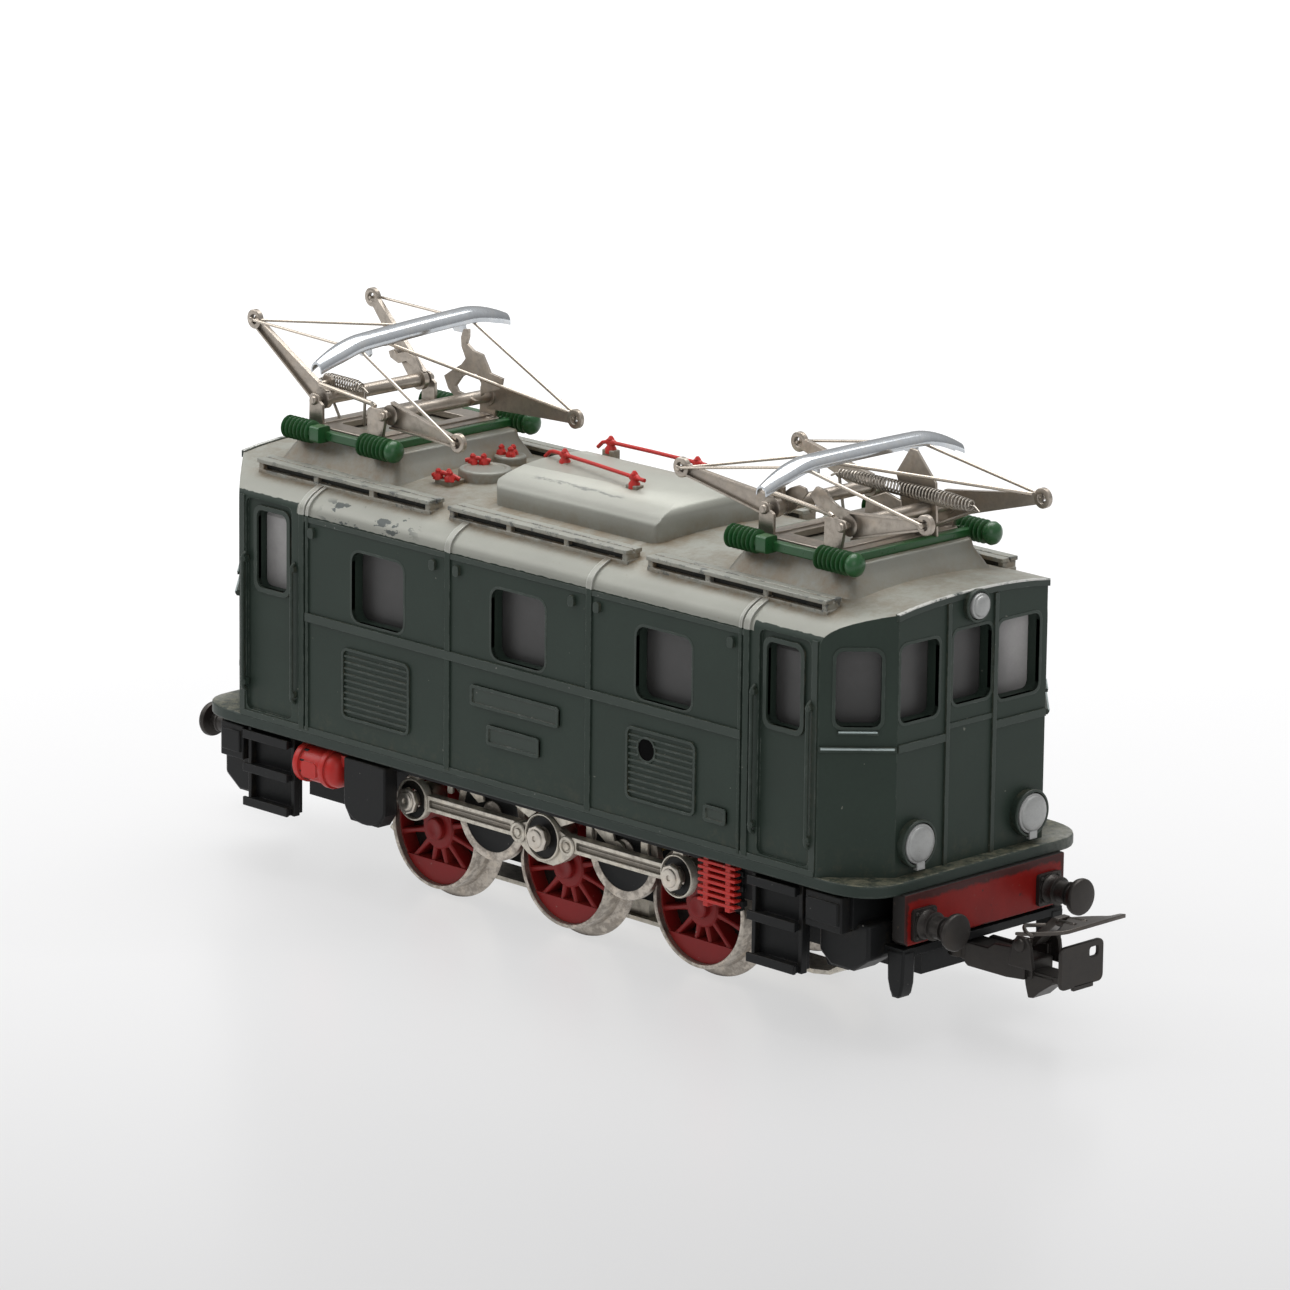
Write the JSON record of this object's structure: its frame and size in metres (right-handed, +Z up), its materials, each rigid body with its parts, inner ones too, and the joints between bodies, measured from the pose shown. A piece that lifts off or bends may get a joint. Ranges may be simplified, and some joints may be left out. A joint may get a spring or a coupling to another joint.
{
  "type": "model electric locomotive",
  "caption": "H0 gauge model electric locomotive: die-cast body, rod-coupled drive wheels, geared motor, buffers, couplers and diamond pantographs.",
  "frame": {"origin": "centre of the bounding box in plan, on the plane the wheel flange tips stand on", "axes": "+X towards the front cab, +Y towards the far side, +Z up; rail top is 1.43 mm above the origin plane"},
  "size_m": [0.1405, 0.0364, 0.0658],
  "materials": {
    "armature": "laminations and copper winding",
    "axle_1": "bright steel",
    "axle_2": "bright steel",
    "axle_3": "bright steel",
    "brush_plate": "phenolic",
    "buffer_front_far": "blackened steel",
    "buffer_front_near": "blackened steel",
    "buffer_rear_far": "blackened steel",
    "buffer_rear_near": "blackened steel",
    "casing": "dark green enamel, worn",
    "chassis": "black enamel",
    "coupler_bail_front": "blackened steel",
    "coupler_front": "blackened steel",
    "coupler_rear": "blackened steel",
    "coupling_rod_far": "nickelled, dulled",
    "coupling_rod_near": "nickelled, dulled",
    "crank_pin_1_far": "nickelled, dulled",
    "crank_pin_1_near": "nickelled, dulled",
    "crank_pin_2_far": "nickelled, dulled",
    "crank_pin_2_near": "nickelled, dulled",
    "crank_pin_3_far": "nickelled, dulled",
    "crank_pin_3_near": "nickelled, dulled",
    "field_coil": "enamelled copper wire",
    "field_magnet": "laminations",
    "glazing": "clouded clear plastic",
    "idler_gear_1": "nickelled",
    "idler_gear_2": "nickelled",
    "lamp_front_far": "silvered lens",
    "lamp_front_near": "silvered lens",
    "lamp_front_top": "silvered lens",
    "lamp_rear_far": "silvered lens",
    "lamp_rear_near": "silvered lens",
    "lamp_rear_top": "silvered lens",
    "motor_gear": "machined",
    "panto_front_base": "nickelled",
    "panto_front_frame": "green enamel",
    "panto_front_link": "nickelled",
    "panto_front_lower_front": "nickelled",
    "panto_front_lower_rear": "nickelled",
    "panto_front_shoe": "polished",
    "panto_front_spring": "spring steel",
    "panto_front_upper_front": "nickelled",
    "panto_front_upper_rear": "nickelled",
    "panto_rear_base": "nickelled",
    "panto_rear_frame": "green enamel",
    "panto_rear_link": "nickelled",
    "panto_rear_lower_front": "nickelled",
    "panto_rear_lower_rear": "nickelled",
    "panto_rear_shoe": "polished",
    "panto_rear_spring": "spring steel",
    "panto_rear_upper_front": "nickelled",
    "panto_rear_upper_rear": "nickelled",
    "pickup_shoe": "worn steel",
    "wheel_1_far": "nickelled tyre, red centre",
    "wheel_1_near": "nickelled tyre, red centre",
    "wheel_2_far": "nickelled tyre, red centre",
    "wheel_2_near": "nickelled tyre, red centre",
    "wheel_3_far": "nickelled tyre, red centre",
    "wheel_3_near": "nickelled tyre, red centre"
  },
  "bodies": {
    "locomotive": {"casing": "casing", "glazing": "glazing", "chassis": "chassis", "field_magnet": "field_magnet", "field_coil": "field_coil", "brush_plate": "brush_plate", "buffer_front_far": "buffer_front_far", "buffer_front_near": "buffer_front_near", "buffer_rear_far": "buffer_rear_far", "buffer_rear_near": "buffer_rear_near", "lamp_front_far": "lamp_front_far", "lamp_front_near": "lamp_front_near", "lamp_front_top": "lamp_front_top", "lamp_rear_far": "lamp_rear_far", "lamp_rear_near": "lamp_rear_near", "lamp_rear_top": "lamp_rear_top", "panto_rear_frame": "panto_rear_frame", "panto_rear_base": "panto_rear_base", "panto_rear_spring": "panto_rear_spring", "panto_front_frame": "panto_front_frame", "panto_front_base": "panto_front_base", "panto_front_spring": "panto_front_spring"},
    "wheelset_1": {"axle_1": "axle_1", "wheel_1_near": "wheel_1_near", "wheel_1_far": "wheel_1_far", "crank_pin_1_near": "crank_pin_1_near", "crank_pin_1_far": "crank_pin_1_far"},
    "wheelset_2": {"axle_2": "axle_2", "wheel_2_near": "wheel_2_near", "wheel_2_far": "wheel_2_far", "crank_pin_2_near": "crank_pin_2_near", "crank_pin_2_far": "crank_pin_2_far"},
    "wheelset_3": {"axle_3": "axle_3", "wheel_3_near": "wheel_3_near", "wheel_3_far": "wheel_3_far", "crank_pin_3_near": "crank_pin_3_near", "crank_pin_3_far": "crank_pin_3_far"},
    "rod_near": {"coupling_rod_near": "coupling_rod_near"},
    "rod_far": {"coupling_rod_far": "coupling_rod_far"},
    "idler_1": {"idler_gear_1": "idler_gear_1"},
    "idler_2": {"idler_gear_2": "idler_gear_2"},
    "reduction_gear": {"motor_gear": "motor_gear"},
    "rotor": {"armature": "armature"},
    "pickup": {"pickup_shoe": "pickup_shoe"},
    "coupler_f": {"coupler_front": "coupler_front"},
    "coupler_r": {"coupler_rear": "coupler_rear"},
    "coupler_f_bail": {"coupler_bail_front": "coupler_bail_front"},
    "panto_rear_lower_rear_body": {"panto_rear_lower_rear": "panto_rear_lower_rear"},
    "panto_rear_lower_front_body": {"panto_rear_lower_front": "panto_rear_lower_front"},
    "panto_rear_upper_rear_body": {"panto_rear_upper_rear": "panto_rear_upper_rear"},
    "panto_rear_upper_front_body": {"panto_rear_upper_front": "panto_rear_upper_front"},
    "panto_rear_shoe_body": {"panto_rear_shoe": "panto_rear_shoe"},
    "panto_rear_link_body": {"panto_rear_link": "panto_rear_link"},
    "panto_front_lower_rear_body": {"panto_front_lower_rear": "panto_front_lower_rear"},
    "panto_front_lower_front_body": {"panto_front_lower_front": "panto_front_lower_front"},
    "panto_front_upper_rear_body": {"panto_front_upper_rear": "panto_front_upper_rear"},
    "panto_front_upper_front_body": {"panto_front_upper_front": "panto_front_upper_front"},
    "panto_front_shoe_body": {"panto_front_shoe": "panto_front_shoe"},
    "panto_front_link_body": {"panto_front_link": "panto_front_link"}
  },
  "joints": [
    {"name": "wheelset_2_spin", "type": "hinge", "parent": "locomotive", "child": "wheelset_2", "pos_m": [0, 0, 0.00853], "axis": [0, 1, 0], "continuous": true},
    {"name": "wheelset_1_spin", "type": "hinge", "parent": "locomotive", "child": "wheelset_1", "pos_m": [-0.02137, 0, 0.00853], "axis": [0, 1, 0], "continuous": true},
    {"name": "wheelset_3_spin", "type": "hinge", "parent": "locomotive", "child": "wheelset_3", "pos_m": [0.02137, 0, 0.00853], "axis": [0, 1, 0], "continuous": true},
    {"name": "rod_near_pin", "type": "hinge", "parent": "wheelset_2", "child": "rod_near", "pos_m": [0, -0.01315, 0.01275], "axis": [0, 1, 0], "continuous": true},
    {"name": "rod_far_pin", "type": "hinge", "parent": "wheelset_2", "child": "rod_far", "pos_m": [0.00422, 0.01315, 0.00853], "axis": [0, 1, 0], "continuous": true},
    {"name": "idler_1_spin", "type": "hinge", "parent": "locomotive", "child": "idler_1", "pos_m": [-0.01069, 0, 0.01278], "axis": [0, 1, 0], "continuous": true},
    {"name": "idler_2_spin", "type": "hinge", "parent": "locomotive", "child": "idler_2", "pos_m": [0.01069, 0, 0.01278], "axis": [0, 1, 0], "continuous": true},
    {"name": "reduction_gear_spin", "type": "hinge", "parent": "locomotive", "child": "reduction_gear", "pos_m": [0, 0, 0.02003], "axis": [0, 1, 0], "continuous": true},
    {"name": "rotor_spin", "type": "hinge", "parent": "locomotive", "child": "rotor", "pos_m": [0, 0, 0.02753], "axis": [0, 1, 0], "continuous": true},
    {"name": "pickup_slide", "type": "slide", "parent": "locomotive", "child": "pickup", "axis": [0, 0, 1], "range_m": [-0.0004, 0.0009]},
    {"name": "coupler_front_swing", "type": "hinge", "parent": "locomotive", "child": "coupler_f", "pos_m": [0.052, 0, 0.00903], "axis": [0, 0, 1], "range_deg": [-14, 14]},
    {"name": "coupler_rear_swing", "type": "hinge", "parent": "locomotive", "child": "coupler_r", "pos_m": [-0.052, 0, 0.00903], "axis": [0, 0, 1], "range_deg": [-2, 30]},
    {"name": "coupler_front_bail_lift", "type": "hinge", "parent": "coupler_f", "child": "coupler_f_bail", "pos_m": [0.0626, 0, 0.01163], "axis": [0, -1, 0], "range_deg": [0, 35]},
    {"name": "panto_rear_raise", "type": "hinge", "parent": "locomotive", "child": "panto_rear_lower_rear_body", "pos_m": [-0.0432, 0, 0.05523], "axis": [0, 1, 0], "range_deg": [-5, 34]},
    {"name": "panto_rear_front_arm", "type": "hinge", "parent": "locomotive", "child": "panto_rear_lower_front_body", "pos_m": [-0.0316, 0, 0.05523], "axis": [0, 1, 0], "range_deg": [-35, 6]},
    {"name": "panto_rear_rear_knee", "type": "hinge", "parent": "panto_rear_lower_rear_body", "child": "panto_rear_upper_rear_body", "pos_m": [-0.05315, 0, 0.06329], "axis": [0, 1, 0], "range_deg": [-63, 11]},
    {"name": "panto_rear_front_knee", "type": "hinge", "parent": "panto_rear_lower_front_body", "child": "panto_rear_upper_front_body", "pos_m": [-0.01883, 0, 0.05434], "axis": [0, 1, 0], "range_deg": [-10, 60]},
    {"name": "panto_rear_shoe_pivot", "type": "hinge", "parent": "panto_rear_upper_rear_body", "child": "panto_rear_shoe_body", "pos_m": [-0.03512, 0, 0.0641], "axis": [0, 1, 0], "range_deg": [-6, 29]},
    {"name": "panto_rear_link_pin", "type": "hinge", "parent": "panto_rear_lower_rear_body", "child": "panto_rear_link_body", "pos_m": [-0.0432, 0, 0.05708], "axis": [0, 1, 0], "range_deg": [-35, 6]},
    {"name": "panto_front_raise", "type": "hinge", "parent": "locomotive", "child": "panto_front_lower_rear_body", "pos_m": [0.0295, 0, 0.05523], "axis": [0, 1, 0], "range_deg": [-3, 44]},
    {"name": "panto_front_front_arm", "type": "hinge", "parent": "locomotive", "child": "panto_front_lower_front_body", "pos_m": [0.0411, 0, 0.05523], "axis": [0, 1, 0], "range_deg": [-45, 4]},
    {"name": "panto_front_rear_knee", "type": "hinge", "parent": "panto_front_lower_rear_body", "child": "panto_front_upper_rear_body", "pos_m": [0.01696, 0, 0.05778], "axis": [0, 1, 0], "range_deg": [-82, 7]},
    {"name": "panto_front_front_knee", "type": "hinge", "parent": "panto_front_lower_front_body", "child": "panto_front_upper_front_body", "pos_m": [0.05364, 0, 0.05778], "axis": [0, 1, 0], "range_deg": [-7, 82]},
    {"name": "panto_front_shoe_pivot", "type": "hinge", "parent": "panto_front_upper_rear_body", "child": "panto_front_shoe_body", "pos_m": [0.03475, 0, 0.06082], "axis": [0, 1, 0], "range_deg": [-4, 38]},
    {"name": "panto_front_link_pin", "type": "hinge", "parent": "panto_front_lower_rear_body", "child": "panto_front_link_body", "pos_m": [0.0295, 0, 0.05708], "axis": [0, 1, 0], "range_deg": [-45, 4]}
  ],
  "couplings": [
    {"joint": "wheelset_1_spin", "follows": "wheelset_2_spin", "ratio": 1},
    {"joint": "wheelset_3_spin", "follows": "wheelset_2_spin", "ratio": 1},
    {"joint": "rod_near_pin", "follows": "wheelset_2_spin", "ratio": -1},
    {"joint": "rod_far_pin", "follows": "wheelset_2_spin", "ratio": -1},
    {"joint": "idler_1_spin", "follows": "wheelset_2_spin", "ratio": -1.3},
    {"joint": "idler_2_spin", "follows": "wheelset_2_spin", "ratio": -1.3},
    {"joint": "reduction_gear_spin", "follows": "wheelset_2_spin", "ratio": -1.3},
    {"joint": "rotor_spin", "follows": "wheelset_2_spin", "ratio": 2.6},
    {"joint": "panto_rear_front_arm", "follows": "panto_rear_raise", "ratio": -1},
    {"joint": "panto_rear_rear_knee", "follows": "panto_rear_raise", "ratio": -1.8154},
    {"joint": "panto_rear_front_knee", "follows": "panto_rear_raise", "ratio": 1.7144},
    {"joint": "panto_rear_shoe_pivot", "follows": "panto_rear_raise", "ratio": 0.8154},
    {"joint": "panto_rear_link_pin", "follows": "panto_rear_raise", "ratio": -1},
    {"joint": "panto_front_front_arm", "follows": "panto_front_raise", "ratio": -1},
    {"joint": "panto_front_rear_knee", "follows": "panto_front_raise", "ratio": -1.8333},
    {"joint": "panto_front_front_knee", "follows": "panto_front_raise", "ratio": 1.8333},
    {"joint": "panto_front_shoe_pivot", "follows": "panto_front_raise", "ratio": 0.8333},
    {"joint": "panto_front_link_pin", "follows": "panto_front_raise", "ratio": -1}
  ]
}
